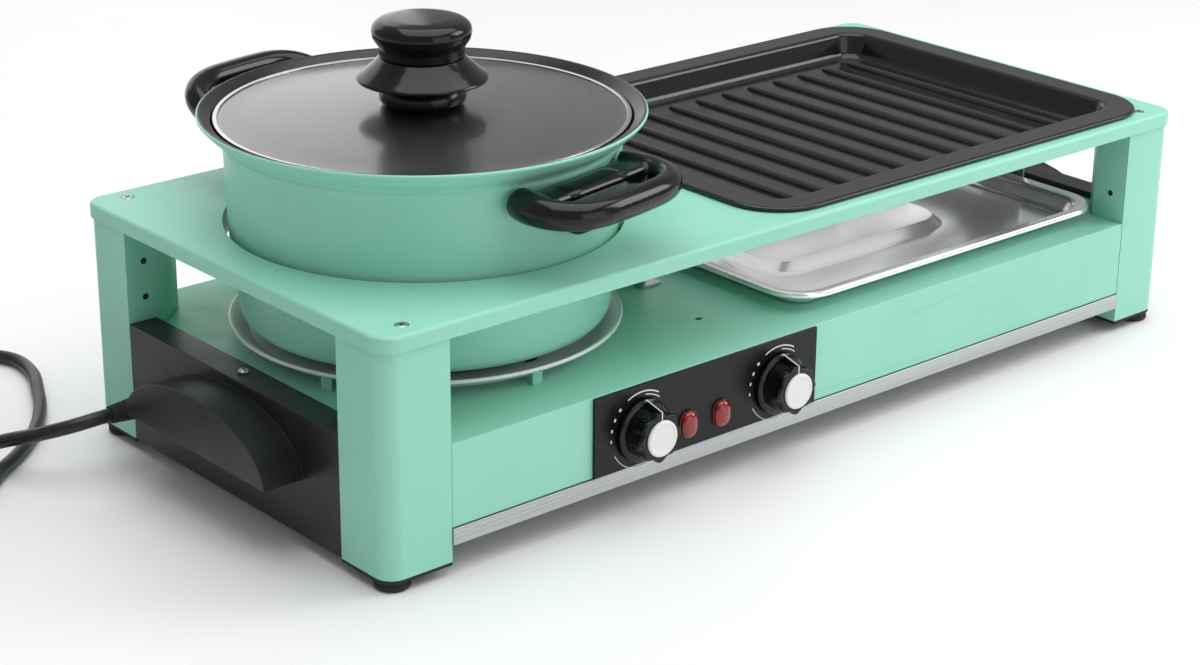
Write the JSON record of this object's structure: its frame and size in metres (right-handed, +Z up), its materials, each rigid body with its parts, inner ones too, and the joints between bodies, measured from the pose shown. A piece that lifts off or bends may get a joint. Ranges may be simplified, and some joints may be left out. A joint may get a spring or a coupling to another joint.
{
  "type": "electric table grill",
  "caption": "Long table frame with a lidded hot pot over a hob on the left, a ribbed grill pan over a heater and drip tray on the right, and two heat dials.",
  "frame": {"origin": "centre of the underside of the front left foot", "axes": "+X to the right along the front, +Y to the back, +Z up"},
  "size_m": [0.9628, 0.5077, 0.286],
  "materials": {
    "mint_paint": "satin",
    "black_plastic": "satin",
    "black_rubber": "matte",
    "bright_steel": "polished",
    "plain_steel": "satin",
    "brushed_metal": "brushed",
    "white_cap": "satin",
    "gloss_black": "gloss",
    "switch_body": "matte",
    "red_lamp": "gloss",
    "iron": "matte",
    "heater_tube": "matte",
    "pot_enamel": "satin",
    "lid_glass": "clear",
    "pan_coating": "gloss"
  },
  "bodies": {
    "base": {"base_plate": "plain_steel", "chassis_shell": "mint_paint", "control_plate": "black_plastic", "cord_coil": "black_rubber", "cord_relief": "black_rubber", "end_panel_left": "black_plastic", "end_panel_right": "black_plastic", "foot_front_left": "black_rubber", "foot_front_right": "black_rubber", "foot_rear_left": "black_rubber", "foot_rear_right": "black_rubber", "front_trim": "brushed_metal", "grill_heater": "heater_tube", "heater_bracket": "plain_steel", "heater_rest": "plain_steel", "hob_ring": "brushed_metal", "hot_plate": "iron", "ledge_screw_left": "bright_steel", "ledge_screw_right": "bright_steel", "leg_cap_front_left": "black_plastic", "leg_cap_front_right": "black_plastic", "leg_cap_rear_left": "black_plastic", "leg_cap_rear_right": "black_plastic", "leg_front_left": "mint_paint", "leg_front_right": "mint_paint", "leg_rear_left": "mint_paint", "leg_rear_right": "mint_paint", "mains_cord": "black_rubber", "pilot_lamp_grill": "red_lamp", "pilot_lamp_pot": "red_lamp", "plate_screw_front_left": "bright_steel", "plate_screw_front_right": "bright_steel", "plate_screw_rear_left": "bright_steel", "plate_screw_rear_right": "bright_steel", "plug": "black_rubber", "terminal_block": "switch_body", "thermostat_grill": "switch_body", "thermostat_pot": "switch_body", "top_plate": "mint_paint"},
    "pot": {"pot_body": "pot_enamel", "pot_handle_front": "gloss_black", "pot_handle_rear": "gloss_black", "pot_bracket_front": "plain_steel", "pot_bracket_rear": "plain_steel", "pot_handle_screw_front": "bright_steel", "pot_handle_screw_rear": "bright_steel"},
    "lid": {"lid_glass": "lid_glass", "lid_band": "bright_steel", "lid_knob": "gloss_black", "lid_knob_base": "gloss_black", "lid_knob_screw": "bright_steel"},
    "pan": {"grill_pan": "pan_coating"},
    "tray": {"drip_tray": "plain_steel"},
    "pot_dial": {"dial_pot": "gloss_black", "dial_cap_pot": "white_cap", "dial_shaft_pot": "plain_steel"},
    "grill_dial": {"dial_grill": "gloss_black", "dial_cap_grill": "white_cap", "dial_shaft_grill": "plain_steel"}
  },
  "joints": [
    {"name": "pot_lift", "type": "slide", "parent": "base", "child": "pot", "axis": [0, 0, 1], "range_m": [0, 0.2]},
    {"name": "lid_lift", "type": "slide", "parent": "pot", "child": "lid", "axis": [0, 0, 1], "range_m": [0, 0.15]},
    {"name": "pan_lift", "type": "slide", "parent": "base", "child": "pan", "axis": [0, 0, 1], "range_m": [0, 0.12]},
    {"name": "tray_slide", "type": "slide", "parent": "base", "child": "tray", "axis": [0, -1, 0], "range_m": [0, 0.3]},
    {"name": "pot_dial_turn", "type": "hinge", "parent": "base", "child": "pot_dial", "pos_m": [0.18, -0.012, 0.053], "axis": [0, 1, 0], "range_deg": [0, 270]},
    {"name": "grill_dial_turn", "type": "hinge", "parent": "base", "child": "grill_dial", "pos_m": [0.296, -0.012, 0.053], "axis": [0, 1, 0], "range_deg": [0, 270]}
  ]
}
